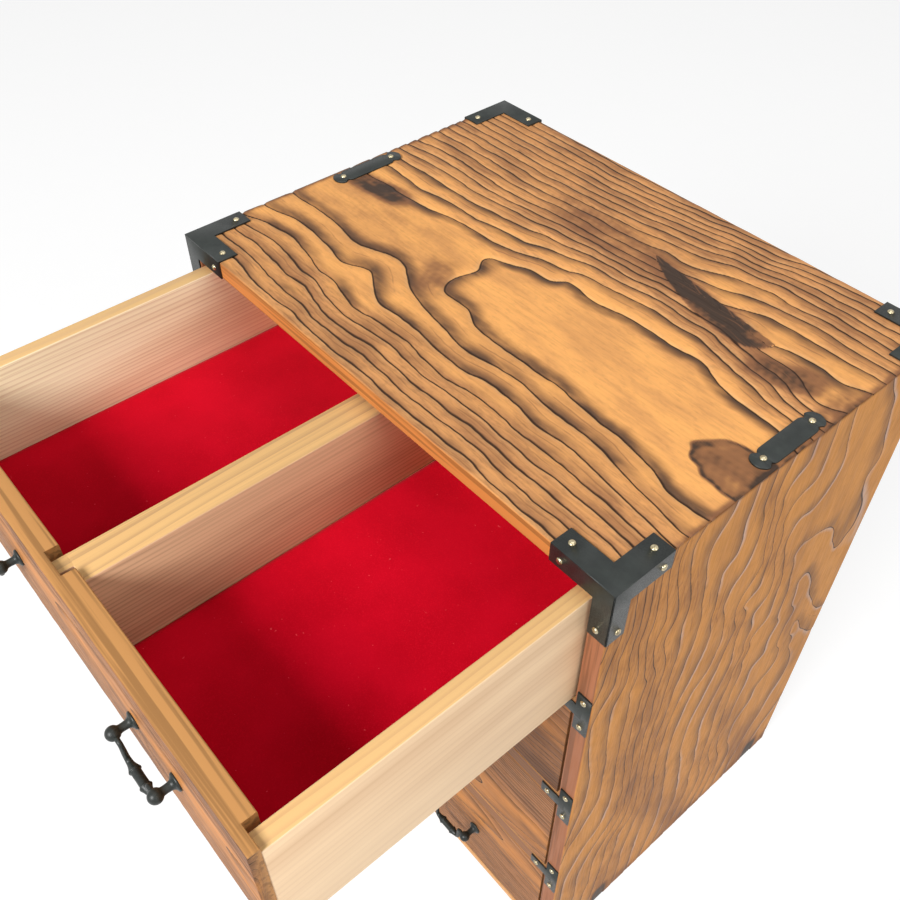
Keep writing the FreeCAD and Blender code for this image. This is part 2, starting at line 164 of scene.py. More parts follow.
def open_network(tree):
    """Make a node tree the one that the helpers work on."""
    global network
    network = tree


def plug(node, inputs):
    """Fill a node's inputs: outputs of other nodes are linked, values are set."""
    for key, value in inputs.items():
        entry = node.inputs[key]
        if isinstance(value, bpy.types.NodeSocket):
            network.links.new(value, entry)
        else:
            entry.default_value = screen(value) if entry.type == "RGBA" else value


def add(kind, inputs, **settings):
    """Add a node, make its settings and fill its inputs."""
    made = network.nodes.new(kind)
    for key, value in settings.items():
        setattr(made, key, value)
    plug(made, inputs)
    return made


def calc(operation, a, b=0.0):
    """One sum of two numbers."""
    return add("ShaderNodeMath", {0: a, 1: b}, operation=operation).outputs[0]


def times(a, b):
    """One number times another."""
    return calc("MULTIPLY", a, b)


def ease(value, start, end, low=0.0, high=1.0):
    """A smooth step: low below start, high above end."""
    inputs = {"Value": value, "From Min": start, "From Max": end, "To Min": low, "To Max": high}
    return add("ShaderNodeMapRange", inputs, interpolation_type="SMOOTHSTEP").outputs[0]


def blend(share, below, above):
    """A colour between two, by share."""
    return add("ShaderNodeMix", {0: share, 6: below, 7: above}, data_type="RGBA").outputs[2]


def paint(ground, layers):
    """Lay colours over a ground, each by its share."""
    for share, colour in layers:
        ground = blend(share, ground, colour)
    return ground


def grain_noise(scale, detail, axis=None, slow=None):
    """Cloudy noise on the object's coordinates, in turns per metre, slower along one axis if told so."""
    stretch = tuple(slow if k == axis else scale for k in range(3))
    place = add("ShaderNodeTexCoord", {}).outputs["Object"]
    scaled = add("ShaderNodeMapping", {"Vector": place, "Scale": stretch}).outputs[0]
    return add("ShaderNodeTexNoise", {"Vector": scaled, "Scale": 1.0, "Detail": detail}).outputs["Fac"]


def new_finish(name):
    """A new material, with its network opened, and its surface shader."""
    material = bpy.data.materials.new(name)
    material.use_nodes = True
    open_network(material.node_tree)
    return material, network.nodes["Principled BSDF"]


# %% [markdown]
# ## Burnt and brushed cedar
# The board is scorched, then a wire brush takes the soft early wood out between the hard late wood. What is
# left is a terrace for each year: light where the year began, with a painted highlight there, darker towards
# its end, then a black line.
# The mesh carries the ring number and the ring's width in millimetres, so the shader can draw a line of a
# fixed width on wide and narrow rings alike. Planed edges carry a brushed mark of 0 and stay smooth.

# %% Brushed cedar
MARKS = ("ring", "band", "char_and_shade", "brushed")


def brushed_cedar(name, axis, colours, highlight_band, line_width, scorched):
    """Colour by the place inside the ring; axis is the way the grain runs, scorched the depth of the shading.

    The colours are gold, tan, brown, ink, planed and a painted highlight. Wide rings are gold and narrow ones
    tan, both mottled with brown. Rings wider than the highlight band get a painted highlight just past the
    line, where the slope would catch the light, and rings of a middling width a faint second line half way.
    Bands and distances from the line are in millimetres.
    """
    gold, tan, brown, ink, planed, painted_highlight = colours
    soot, coal_and_shade = (62, 50, 42), (58, 47, 40)
    material, surface = new_finish(name)
    readers = [add("ShaderNodeAttribute", {}, attribute_name=mark) for mark in MARKS]
    ring, band, char_and_shade, brushed = (reader.outputs["Fac"] for reader in readers)
    fibre = grain_noise(900.0, 4.0, axis, 60.0)
    cloud = grain_noise(110.0, 5.0, axis, 34.0)
    speck = grain_noise(700.0, 4.0, axis, 260.0)
    vein = grain_noise(420.0, 2.0, axis, 9.0)
    part = calc("FRACT", ring)
    to_line = times(calc("SUBTRACT", 1.0, part), band)
    past_line = times(part, band)
    nearest = calc("MINIMUM", to_line, times(past_line, 1.6))
    swelling = ease(cloud, 0.3, 0.7, 1.5 / line_width, 0.75 / line_width)
    line = ease(times(nearest, swelling), 0.3, 1.0, 1.0, 0.0)
    reach = ease(band, 2.0, 16.0, 1.4, 10.0)
    nearing = ease(calc("DIVIDE", to_line, reach), 0.0, 1.0, 1.0, 0.0)
    wide = ease(band, 3.5, 13.0)
    scorch = times(nearing, ease(cloud, 0.3, 0.62, 0.5, 1.0))
    scorch = times(scorch, ease(wide, 0.0, 1.0, 0.6, 1.0))
    # Painted highlight: a light band just past each line, where the rising slope would catch the light.
    highlight_share = times(ease(past_line, 0.5, 2.6, 0.6, 0.0), ease(cloud, 0.35, 0.6, 0.2, 1.0))
    broad = ease(band, 0.6 * highlight_band, 1.4 * highlight_band)
    patch = times(ease(cloud, 0.42, 0.68, 0.0, 0.5), ease(wide, 0.0, 1.0, 1.0, 0.25))
    quiet = ease(wide, 0.0, 1.0, 1.0, 0.4)
    deep = times(calc("POWER", scorch, 1.5), ease(band, 3.0, 12.0, 0.25, 1.0))
    # burnt follows the char mark: real burning, and on the sides also painted shade towards the bottom and at
    # the notches.
    burnt = times(char_and_shade, ease(cloud, 0.25, 0.65, 0.7, 1.1))
    half_way = calc("ABSOLUTE", calc("SUBTRACT", past_line, times(band, 0.46)))
    faint = times(ease(half_way, 0.1, 0.5, 0.5, 0.0), ease(cloud, 0.45, 0.6))
    middling = times(ease(band, 4.0, 6.0), ease(band, 13.0, 18.0, 1.0, 0.0))
    ground = blend(times(wide, ease(cloud, 0.3, 0.65, 1.0, 0.6)), tan, gold)
    wood = paint(ground, [
        # painted highlight just past the line
        (times(highlight_share, broad), painted_highlight),
        (patch, brown),
        (times(quiet, ease(fibre, 0.4, 0.72, 0.0, 0.36)), brown),
        (times(quiet, ease(speck, 0.48, 0.72, 0.0, 0.34)), brown),
        (times(scorch, scorched), brown),
        (times(deep, scorched), soot),
        (ease(burnt, 0.0, 0.5, 0.0, 0.9), brown),
        # near black for the deepest burning, and for the painted shade at the side's notches
        (ease(burnt, 0.45, 0.95, 0.0, 0.95), coal_and_shade),
        (times(faint, middling), brown),
        (times(line, ease(char_and_shade, 0.75, 0.95, 0.96, 0.3)), ink),
    ])
    smooth = blend(ease(vein, 0.46, 0.6, 0.0, 0.4), planed, ink)
    colour = blend(brushed, smooth, wood)
    rough = ease(fibre, 0.2, 0.8, 0.45, 0.65)
    plug(surface, {"Base Color": colour, "Roughness": rough, "Specular IOR Level": 0.15})
    return material


# The last colour of each list is a painted highlight past the lines; on the sides it is a lilac-grey painted
# glint.
TOP_COLOURS = [(246, 177, 103), (210, 149, 95), (132, 89, 62), (44, 28, 18), (208, 134, 70), (236, 182, 124)]
# The sides' planed colour, seen on the stiles, is dark partly from scorching and partly as painted shade.
SIDE_COLOURS = [(212, 144, 66), (194, 130, 62), (130, 82, 46), (62, 38, 22), (152, 98, 68), (208, 190, 184)]
FRONT_COLOURS = [(194, 128, 66), (154, 104, 66), (104, 70, 48), (56, 38, 27), (194, 140, 84), (184, 130, 84)]
top_cedar = brushed_cedar("top cedar", 0, TOP_COLOURS, highlight_band=1.0, line_width=0.85, scorched=0.9)
side_cedar = brushed_cedar("side cedar", 2, SIDE_COLOURS, highlight_band=12.0, line_width=0.46, scorched=0.4)
front_cedar = brushed_cedar("front cedar", 0, FRONT_COLOURS, highlight_band=1.0, line_width=0.42, scorched=0.35)
print("brushed cedar for the top, the sides and the drawer fronts")

# %% [markdown]
# ## Relief
# The same ring number that paints the line also cuts it. Inside a ring the wood rises slowly towards the
# hard late wood, then drops into a groove. The depth is worked out for whole arrays, and the neighbours'
# difference of the ring number gives the ring's width.

# %% Relief of a brushed face
LEAST_RING, MOST_RING = 0.5, 30.0
BANK, SLOPE, WIDE_RING = 0.9, 1.7, 8.0


def swell(u, v, length, seed, waves=7):
    """An uneven swell: the scaled sum of sine waves of about the given length, in seeded ways and phases."""
    rng = np.random.default_rng(seed)
    way, phase = rng.uniform(0, 2 * np.pi, (2, waves))
    number = 2 * np.pi / length * rng.uniform(0.6, 1.7, waves)
    total = np.zeros(np.broadcast(u, v).shape)
    for k in range(waves):
        total += np.sin(number[k] * (u * np.cos(way[k]) + v * np.sin(way[k])) + phase[k])
    return total / np.sqrt(waves)


def ring_width(figure, u, v):
    """The ring number at each point, and the ring's width in millimetres: one over the number's slope."""
    step = 0.2
    here = figure(u, v)
    slope = np.hypot(figure(u + step, v) - here, figure(u, v + step) - here) / step
    return here, np.clip(1.0 / np.maximum(slope, 1e-3), LEAST_RING, MOST_RING)


def brush_depth(ring, band, u, v, seed):
    """Depth of the brushed face in millimetres: a steep bank before each line and a long slope past it."""
    part = ring - np.floor(ring)
    before, past = (1 - part) * band, part * band
    groove = np.maximum(np.exp(-((before / BANK) ** 2)), np.exp(-past / SLOPE))
    strength = (0.75 + 0.2 * np.sin(2.4 * ring + seed)) * (0.4 + 0.6 * np.clip(band / WIDE_RING, 0, 1))
    fibre = 0.03 * (1 + swell(u * 0.06, v, 2.6, seed + 50))
    return strength * groove + fibre


def wander(u, v, seed):
    """Move points by about a millimetre, so that lines waver as they do in real wood."""
    aside = 0.8 * swell(u, v, 40, seed)
    across = 0.3 * swell(u * 0.8, v * 1.2, 26, seed + 1) + 0.1 * swell(u, v, 8, seed + 2)
    return u + aside, v + across


# %% [markdown]
# ## A board with a brushed face
# A board is a loop of points around its section, carried along the grain. The outer face of the loop takes
# many points and is pushed in by the brushing; the other three sides stay planed. Where two boards meet in
# a mitre the ends follow the slanting cut, so the limits along the grain depend on the depth in the board.

# %% Board helper
HALF_STEP = 0.02


def section_loop(width, thick, radius, across, step=None):
    """Loop around a board's section: outer face first, then edge, inner face and edge, round corners between.

    Returns the distance across, the depth from the outer face, and how far each point is brushed. A step is
    a place on the inner face that gets two points close together.
    """
    turn = np.linspace(0, np.pi / 2, 5)[1:-1]
    rise, fall = radius * np.sin(turn), radius * np.cos(turn)
    far, deep = width - radius, thick - radius
    face = np.linspace(radius, far, across)
    edge = np.linspace(radius, deep, 4)
    inner = np.linspace(far, radius, 9)
    if step is not None:
        inner[4:6] = step + HALF_STEP, step - HALF_STEP
    w = np.concatenate([face, far + rise, np.full_like(edge, width), far + fall,
                        inner, radius - rise, np.zeros_like(edge), radius - fall])
    d = np.concatenate([np.zeros_like(face), radius - fall, edge, deep + rise,
                        np.full_like(inner, thick), deep + fall, edge[::-1], radius - rise])
    brushed = np.clip(1 - d / (0.8 * radius), 0, 1)
    return w, d, brushed


def brushed_board(low, size, axes, signs, loop, stations, limits, figure, seed, charring_and_shade, share, trim=None):
    """A board: origin corner, sizes, and its grain, across and outward axes with their signs.

    stations are shares of the length, limits(w, d) gives the two ends along the grain, figure(u, v) the ring
    number, charring(u, v) the burning, with painted shade as well on the sides, and share(u, v) the depth of
    the brushing. trim(g, w, d) may change the depth of the inner side. Lengths are in millimetres.
    """
    w, d, brushed = loop
    start, end = limits(w, d)
    g = start + stations[:, None] * (end - start)
    across = np.broadcast_to(w, g.shape)
    ring, band = ring_width(figure, g, across)
    inward = d if trim is None else trim(g, w, d)
    depth = inward + share(g, across) * brushed * brush_depth(ring, band, g, across, seed)
    points = np.empty(g.shape + (3,))
    for axis, sign, value in zip(axes, signs, (g, across, depth)):
        points[..., axis] = low[axis] + (value if sign > 0 else size[axis] - value)
    values = (ring, band, charring_and_shade(g, across), np.broadcast_to(brushed, g.shape))
    return points * MM, dict(zip(MARKS, values))


# %% [markdown]
# ## The figure of the top
# A flat-sawn board shows nested tongues: each growth ring is a contour line on a gentle hill. A few guide
# points say which ring passes where, and a thin plate spline bends a smooth sheet through them, as a steel
# ruler bends through pins. Its whole-number contours are the black lines.


# %% Ring sheets from guide points
def ring_sheet(guides, looseness):
    """Thin plate spline through (u, v, ring) guides: a plane plus distance squared times its logarithm."""
    pins = np.array([(u, v) for _, path in guides for u, v in path], dtype=float)
    rings = np.array([ring for ring, path in guides for _ in path], dtype=float)

    def kernel(distance_squared):
        return 0.5 * distance_squared * np.log(distance_squared + 1e-9)

    count = len(pins)
    spread = ((pins[:, None] - pins[None]) ** 2).sum(-1)
    plane = np.column_stack([np.ones(count), pins])
    system = np.zeros((count + 3, count + 3))
    system[:count, :count] = kernel(spread) + looseness * np.eye(count)
    system[:count, count:] = plane
    system[count:, :count] = plane.T
    weights = np.linalg.solve(system, np.concatenate([rings, np.zeros(3)]))

    def sheet(u, v):
        height = weights[count] + weights[count + 1] * u + weights[count + 2] * v
        for (pin_u, pin_v), weight in zip(pins, weights):
            height = height + weight * kernel((u - pin_u) ** 2 + (v - pin_v) ** 2)
        return height

    return sheet


# Each row is a ring number and the points it passes, in millimetres from the left end and from the front.
TOP_GUIDES = [
    (-0.7, [(190, 88), (230, 86), (262, 82)]),
    (0, [(112, 89), (110, 100), (127, 107), (140, 109), (144, 113), (160, 112), (210, 115), (222, 116),
         (248, 108), (267, 107), (114, 66), (132, 65), (140, 61), (180, 59), (220, 57), (260, 50)]),
    (0.35, [(98, 84)]),
    (1, [(0, 61), (60, 59), (112, 53), (180, 50), (220, 48), (280, 39), (0, 99), (40, 103), (80, 109),
         (112, 111), (140, 120), (180, 127)]),
    (2, [(0, 44), (20, 48), (50, 47), (80, 50), (104, 38), (170, 39), (0, 112), (40, 113), (80, 116),
         (112, 121), (212, 134), (250, 126), (268, 121)]),
    (3, [(0, 31), (66, 32), (96, 28), (160, 28), (200, 29), (0, 124), (40, 125), (80, 127), (112, 132),
         (140, 137), (180, 140)]),
    (4, [(84, 23), (160, 22), (220, 22), (0, 130), (166, 143), (268, 132)]),
    (5, [(0, 21), (70, 20), (120, 17), (270, 14), (200, 149), (230, 147), (256, 151), (280, 153)]),
    (6, [(0, 13), (70, 11), (200, 11), (260, 9), (80, 146), (140, 150), (201, 154), (222, 162),
         (236, 163)]),
    (7, [(30, 7), (80, 5), (140, 4), (60, 152), (120, 155), (160, 157), (176, 158), (206, 167)]),
    (8, [(60, 159), (120, 162), (160, 166), (220, 177)]),
    (9, [(0, 165), (130, 169), (190, 181), (212, 185)]),
    (12, [(0, 182), (90, 183), (150, 189), (200, 195), (280, 200)]),
    (16, [(0, 202), (100, 202), (150, 206)]),
]
top_sheet = ring_sheet(TOP_GUIDES, 0.5)
print(sum(len(path) for _, path in TOP_GUIDES), "guide points for the top")

# %% [markdown]
# ## Knot, scar and burns
# Beside a knot the rings hook back. A mirror makes them do so: points just in front of the knot's axis take
# the rings from behind it. A healed scar lies next to the right-hand plate. Where the fire went deepest the
# board carries a char mark, which the shader turns brown and then black. On the sides the same mark also
# carries painted shade, towards the bottom and at the notches.

# %% Knot, scar and burns
KNOT_LEFT, KNOT_RIGHT = np.array([158.0, 160.0]), np.array([235.0, 148.0])
KNOT_DEEP, KNOT_LIP = 15.0, 3.0


def knot_place(u, v):
    """The way of the knot's axis, the distance behind it and the knot's thickness in front, in millimetres.

    The knot is pointed at the left and blunt at the right: a power of the run times a power of what is left.
    """
    length = np.hypot(*(KNOT_RIGHT - KNOT_LEFT))
    way = (KNOT_RIGHT - KNOT_LEFT) / length
    run = ((u - KNOT_LEFT[0]) * way[0] + (v - KNOT_LEFT[1]) * way[1]) / length
    behind = (v - KNOT_LEFT[1]) * way[0] - (u - KNOT_LEFT[0]) * way[1]
    run = np.clip(run, 0, 1)
    return way, behind, 2 * KNOT_DEEP * run**0.8 * (1 - run) ** 0.35


def fold_knot(u, v):
    """Mirror the points just in front of the knot's axis to behind it, so the rings hook back at the knot."""
    way, behind, lens = knot_place(u, v)
    shift = np.where((behind < 0) & (behind > -np.minimum(lens, KNOT_LIP)), -2 * behind, 0)
    return u - shift * way[1], v + shift * way[0]


def knot(u, v):
    """1 in the burnt heart of the knot, 0 outside, with a border half a millimetre soft."""
    _, behind, lens = knot_place(u, v)
    return np.clip(1 - 2 * behind, 0, 1) * np.clip(2 * (behind + lens), 0, 1)


SCAR_MIDDLE, SCAR_REACH = (273, 77), (22, 13.5)


def scar(u, v):
    """A healed patch beside the right-hand plate: 1 inside, more on its uneven border, 0 outside."""
    aside, ahead = (u - SCAR_MIDDLE[0]) / SCAR_REACH[0], (v - SCAR_MIDDLE[1]) / SCAR_REACH[1]
    distance = np.hypot(aside, ahead) + 0.07 * swell(u, v, 14, 9)
    return np.clip((1.04 - distance) / 0.08, 0, 1) * (1 + 0.8 * np.exp(-(((distance - 0.93) / 0.07) ** 2)))


def top_figure(u, v):
    """Ring number on the top: u from the left end, v from the front, in millimetres."""
    moved_u, moved_v = wander(u, v, 3)
    return top_sheet(*fold_knot(moved_u, moved_v))


def blot(u, v, centre, reach, slant=0.0):
    """A soft dark spot: a bell over a slanted ellipse."""
    a = (u - centre[0]) * np.cos(slant) + (v - centre[1]) * np.sin(slant)
    b = (v - centre[1]) * np.cos(slant) - (u - centre[0]) * np.sin(slant)
    return np.exp(-((a / reach[0]) ** 4) - (b / reach[1]) ** 4)


BURNS = [
    (0.5, (197, 148), (37, 6), -0.2),
    (0.85, (24, 97), (22, 7), 0.1),
    (0.3, (104, 70), (9, 16), 0.5),
    (0.7, (250, 135), (17, 8), 0.3),
    (0.35, (276, 120), (6, 30), 0.0),
    (0.28, (130, 154), (38, 12), 0.0),
    (0.15, (48, 80), (52, 22), 0.0),
]


def top_char(u, v):
    """How dark the top is made: the burns, each a strength and a blot, knot, scar, a darker band along the
    ends, and the back.
    """
    rough = 0.12 * swell(u, v, 17, 8) + 0.1 * swell(u, v, 5, 18)
    ends = np.exp(-((np.minimum(u, case_width / MM - u) / 2.2) ** 2))
    back = np.clip((v - 125) / 40, 0, 1)
    spots = 0.54 * scar(u, v) + 0.5 * knot(u, v) + 0.5 * ends + 0.14 * back
    for strength, centre, reach, slant in BURNS:
        spots = spots + strength * blot(u, v, centre, reach, slant)
    return np.clip(spots * (1 + rough), 0, 1)


print(len(BURNS), "burns on the top")

# %% [markdown]
# ## The top board
# The top lies in the plan of the case with its ends cut to 45 degrees, so the deeper a point lies in the
# board, the shorter the board is there. Its front edge is planed and shows as a smooth orange band.

# %% Top board
ARRIS, MITRE_GAP, TOP_SEED = 0.7, 0.05, 1
TOP_ACROSS, TOP_STATIONS = 252, 330


def span(node):
    """The low and the high corner of a CAD piece, in millimetres."""
    return [np.array(corner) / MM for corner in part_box(node)]


top_low, top_high = span("top_panel")
top_size = top_high - top_low


def top_ends(w, d):
    """The mitres: each end steps in by the depth."""
    return d + MITRE_GAP, top_size[0] - d - MITRE_GAP


top_loop = section_loop(top_size[1], top_size[2], ARRIS, TOP_ACROSS)
top_points, top_marks = brushed_board(
    top_low, top_size, (0, 1, 2), (1, 1, -1), top_loop, np.linspace(0, 1, TOP_STATIONS), top_ends,
    top_figure, TOP_SEED, top_char, lambda u, v: 1 - knot(u, v))
make_piece("brushed_top", [top_points], "case", top_cedar, ["top_panel"], top_marks)

# %% [markdown]
# ## The side boards
# The grain of the sides stands upright and runs on over the mitre into the feet. The upper end follows the
# brushed face of the top, so no splinter of one board stands above a groove of the other. Near the floor
# each side has two small notches, for the ends of the foot battens.

# %% Guide points of the sides
# Each row is a ring number and the points it passes, in millimetres from the front edge and from the floor.
SIDE_GUIDES = [
    (2, [(14.5, 340), (15.5, 318), (12, 300), (3, 262), (5, 230), (6, 170), (0, 146)]),
    (3, [(19.5, 300), (20, 284), (12, 152), (4, 140)]),
    (4, [(23, 300), (27, 274), (25, 262), (6, 90)]),
    (5, [(36, 258), (34.5, 235), (35, 205), (38, 175), (40, 150), (40, 130)]),
    (6, [(31.5, 340), (35, 316), (37.5, 303), (34, 290), (38, 270), (41, 255), (39.5, 230), (40, 200),
         (45, 135), (30, 50)]),
    (7, [(45, 295), (41.5, 282), (47.5, 222), (40, 70)]),
    (8, [(44.5, 340), (53, 170), (57, 99), (50, 86)]),
    (9, [(65.5, 346), (57.5, 321), (65.5, 280), (64, 243), (62, 222), (60, 155), (62, 80), (58, 50)]),
    (10, [(79, 308), (72.5, 301), (76, 272), (79, 255), (69, 130), (73, 100)]),
    (11, [(90, 340), (92.5, 320), (84.5, 279), (84, 266), (89, 212), (80, 198)]),
    (12, [(98, 340), (101, 315), (103, 298), (107, 280), (98, 248), (103, 232), (98, 90), (104, 50)]),
    (13, [(116, 337), (105, 322), (112, 256), (104, 249), (108, 225), (112, 90)]),
    (14, [(129, 317), (112.5, 302), (125, 252), (126, 240), (118, 232), (121, 215), (122, 195),
          (120, 172), (118, 128)]),
    (15, [(143, 346), (147, 328), (138, 292), (123.5, 280), (135, 208), (126, 199), (126, 180),
          (129, 105), (136, 55)]),
    (15.5, [(165, 300), (172, 280), (170, 330)]),
    (16, [(175, 340), (182, 325), (192.5, 286), (188, 279), (193, 228), (186, 224), (179, 236),
          (148, 262), (139, 257), (148, 220), (152, 192), (150, 164), (141, 158), (138, 122), (134, 95)]),
    (16.5, [(160, 240), (150, 240)]),
    (17, [(200, 160), (192, 171), (184, 184), (157, 220), (161, 200), (169, 150), (172, 135), (160, 123),
          (157, 105), (150, 65)]),
    (18, [(176, 168), (177, 155), (183, 138), (194, 98), (182, 60), (168, 20)]),
]
side_sheet = ring_sheet(SIDE_GUIDES, 2.0)
print(sum(len(path) for _, path in SIDE_GUIDES), "guide points for the sides")

# %% Side boards
SIDE_ACROSS, SIDE_STATIONS, FOOT_STATIONS = 222, 366, 6
side_low, side_high = span("right_side_panel")
side_size = side_high - side_low
side_loop = section_loop(side_size[1], side_size[0], ARRIS, SIDE_ACROSS)
BATTENS = [span("front_foot_batten"), span("back_foot_batten")]
BATTEN_MIDDLES = [(low[1] + high[1]) / 2 - side_low[1] for low, high in BATTENS]
NOTCH = BATTENS[0][1][2]
FOOT_CUTS = [0] + [corner[1] - side_low[1] for batten in BATTENS for corner in batten] + [side_size[1]]
EDGE_IN, SIDE_BRUSHING = 0.6, 0.32


def side_board(name, node, sign, mirror, seed):
    """One side: sign tells which way it faces, mirror turns its figure front to back.

    Below the notches the board goes on as three feet, between the cuts for the battens.
    """
    low = span(node)[0]

    def figure(u, v):
        height, deep = wander(u, v, seed)
        return side_sheet(side_size[1] - deep if mirror else deep, height)

    def ends(w, d):
        edge = np.full_like(w, EDGE_IN if sign < 0 else top_size[0] - EDGE_IN)
        ring, band = ring_width(top_figure, edge, w)
        groove = brush_depth(ring, band, edge, w, TOP_SEED)
        return np.full_like(w, NOTCH), side_size[2] - d - MITRE_GAP - groove * np.exp(-d / 1.5)

    def char_and_shade(u, v):
        # Painted shade: darker towards the bottom, where less light falls from above, and darker still along
        # the bottom edge.
        painted_low_shade = 0.14 * np.clip(1.3 - u / 160, 0, 1) + 0.3 * np.exp(-((u / 9) ** 2))
        upper_edge = 0.5 * np.exp(-(((side_size[2] - u) / 1.6) ** 2))
        cloudy = np.clip(0.14 * (swell(u * 0.5, v, 60, seed + 2) - 0.2) + painted_low_shade, 0, 0.4)
        # Painted shade: dark blots around the notches, where the ends of the battens lie in shadow.
        notches = sum(blot(u, v, (8, middle), (10, 6)) for middle in BATTEN_MIDDLES)
        return np.clip(cloudy + upper_edge + notches, 0, 1)

    def board(start, loop, count, limits):
        return brushed_board(
            low + (0, start, 0), side_size, (2, 1, 0), (1, 1, -sign), loop, np.linspace(0, 1, count), limits,
            lambda u, v: figure(u, v + start), seed, lambda u, v: char_and_shade(u, v + start),
            lambda u, v: SIDE_BRUSHING)

    boards = [board(0, side_loop, SIDE_STATIONS, ends)]
    for start, end in zip(FOOT_CUTS[::2], FOOT_CUTS[1::2]):
        loop = section_loop(end - start, side_size[0], ARRIS, int(end - start))
        boards.append(board(start, loop, FOOT_STATIONS, lambda w, d: (0 * w, 0 * w + NOTCH)))
    marks = {mark: np.concatenate([found[mark].ravel() for _, found in boards]) for mark in MARKS}
    make_piece(name, [points for points, _ in boards], "case", side_cedar, [node], marks)


side_board("brushed_right_side", "right_side_panel", sign=1, mirror=False, seed=21)
side_board("brushed_left_side", "left_side_panel", sign=-1, mirror=True, seed=31)

# %% [markdown]
# ## Planed boards
# The drawer boxes are planed pale cedar with fine straight grain. A board is a round-cornered rectangle
# carried along its length, drawn in a little at both ends, so the edges catch light as real arrises do.


# %% Planed boards
def rounded(width, height, radius, corner):
    """Sixteen points around a rectangle: corner arcs of one radius about centres set in by another."""
    turn = (np.arange(4)[:, None] * np.pi / 2 + np.linspace(0, np.pi / 2, 4)).ravel()
    a = np.repeat([1, -1, -1, 1], 4) * (width / 2 - radius) + corner * np.cos(turn)
    b = np.repeat([1, 1, -1, -1], 4) * (height / 2 - radius) + corner * np.sin(turn)
    return a, b


def planed_board(low, high, axis, radius):
    """A box with softened edges: a rounded rectangle along one axis, drawn in at both ends, in metres."""
    low, high = np.array(low), np.array(high)
    size, middle = high - low, (low + high) / 2
    first, second = [k for k in range(3) if k != axis]
    from_end = radius * np.array([0, 0.3, 1])
    draw_in = radius * np.array([0.7, 0.29, 0])
    corner = radius - np.concatenate([draw_in, draw_in[::-1]])[:, None]
    a, b = rounded(size[first], size[second], radius, corner)
    shell = np.empty((6, 16, 3))
    shell[..., axis] = np.concatenate([low[axis] + from_end, high[axis] - from_end[::-1]])[:, None]
    shell[..., first] = middle[first] + a
    shell[..., second] = middle[second] + b
    return shell


# %% Planed cedar
def pale_cedar(name, axis, tilt, light, line, rim, strength=0.5):
    """Straight grain along one axis: years are planes that lean in the board, drawn as thin lines.

    Tilt is the number of years per metre on each axis. Faces that look up, such as the top edges, are freshly
    planed and take the colour of the rim.
    """
    material, surface = new_finish(name)
    place = add("ShaderNodeTexCoord", {}).outputs["Object"]
    bow = grain_noise(26.0, 2.0, axis, 3.0)
    streak = grain_noise(1100.0, 4.0, axis, 10.0)
    cloud = grain_noise(40.0, 2.0, axis, 5.0)
    across = add("ShaderNodeVectorMath", {0: place, 1: tilt}, operation="DOT_PRODUCT").outputs["Value"]
    year = calc("FRACT", calc("ADD", times(bow, 5.0), across))
    late = times(ease(year, 0.45, 0.95), ease(year, 0.96, 1.0, 1.0, 0.0))
    late = times(late, ease(cloud, 0.3, 0.7, 0.4, 1.0))
    facing = add("ShaderNodeNewGeometry", {}).outputs["Normal"]
    upward = add("ShaderNodeSeparateXYZ", {0: facing}).outputs["Z"]
    late = times(late, ease(upward, 0.6, 0.95, strength, 0.6))
    wood = paint(light, [
        (ease(cloud, 0.35, 0.75, 0.0, 0.4), line),
        (ease(upward, 0.6, 0.95, 0.0, 0.9), rim),
        (late, line),
        (ease(streak, 0.45, 0.8, 0.0, 0.6 * strength), line),
    ])
    plug(surface, {"Base Color": wood, "Roughness": 0.55, "Specular IOR Level": 0.3})
    return material


RIM, BARE = (218, 174, 112), (226, 176, 116)
right_cedar = pale_cedar("light wall cedar", 1, (330, 0, 260), (244, 212, 172), (190, 140, 98), RIM, 0.16)
left_cedar = pale_cedar("lined wall cedar", 1, (200, 0, 440), (254, 238, 200), (206, 166, 124), RIM, 0.66)
web_cedar = pale_cedar("divider cedar", 1, (200, 0, 420), (220, 178, 140), (152, 112, 84), RIM, 0.6)
cross_cedar = pale_cedar("drawer back cedar", 0, (0, 60, 420), (240, 206, 162), (196, 142, 104), RIM)
print("planed cedar for the walls, the backs and the divider")

# %% [markdown]
# ## Drawer boxes
# Each box has two sides let into the front, a back between them, and a bottom. The top drawer also has a
# thick divider, with a tongue in a wider housing in the front: that is why dark gaps show beside it.

# %% Drawer boxes
DRAWERS = ["top_drawer", "second_drawer", "third_drawer", "bottom_drawer"]
WALLS = [
    ("left_wall", "left_side", 1, left_cedar),
    ("right_wall", "right_side", 1, right_cedar),
    ("back_wall", "back", 0, cross_cedar),
]
SOFT = 0.6 * MM
for drawer in DRAWERS:
    for wall, side, axis, cedar in WALLS:
        node = f"{drawer}_{side}"
        board = planed_board(*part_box(node), axis, SOFT)
        make_piece(f"{drawer}_{wall}", [board], drawer, cedar, [node])

TONGUE_WIDE, TONGUE_LAP, TONGUE_DROP = 7.0 * MM, 2.0 * MM, 0.1 * MM
web_low, web_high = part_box("top_drawer_divider")
inner_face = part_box("top_drawer_front")[1].y
tongue_high = (web_low.x + TONGUE_WIDE, inner_face + TONGUE_LAP, web_high.z - TONGUE_DROP)
web = planed_board((web_low.x, inner_face, web_low.z), web_high, 1, SOFT)
tongue = planed_board(web_low, tongue_high, 1, SOFT / 2)
make_piece("divider_wall", [web, tongue], "top_drawer", web_cedar, ["top_drawer_divider"])

# %% [markdown]
# ## Drawer fronts
# The outside of a front is brushed like the case. Inside it is rebated at both ends for the sides, and the
# top drawer's front is housed for the divider. A front is still one board carried along its length: where a
# rebate or housing begins it has two stations almost in one place, and past them the board is thinner.

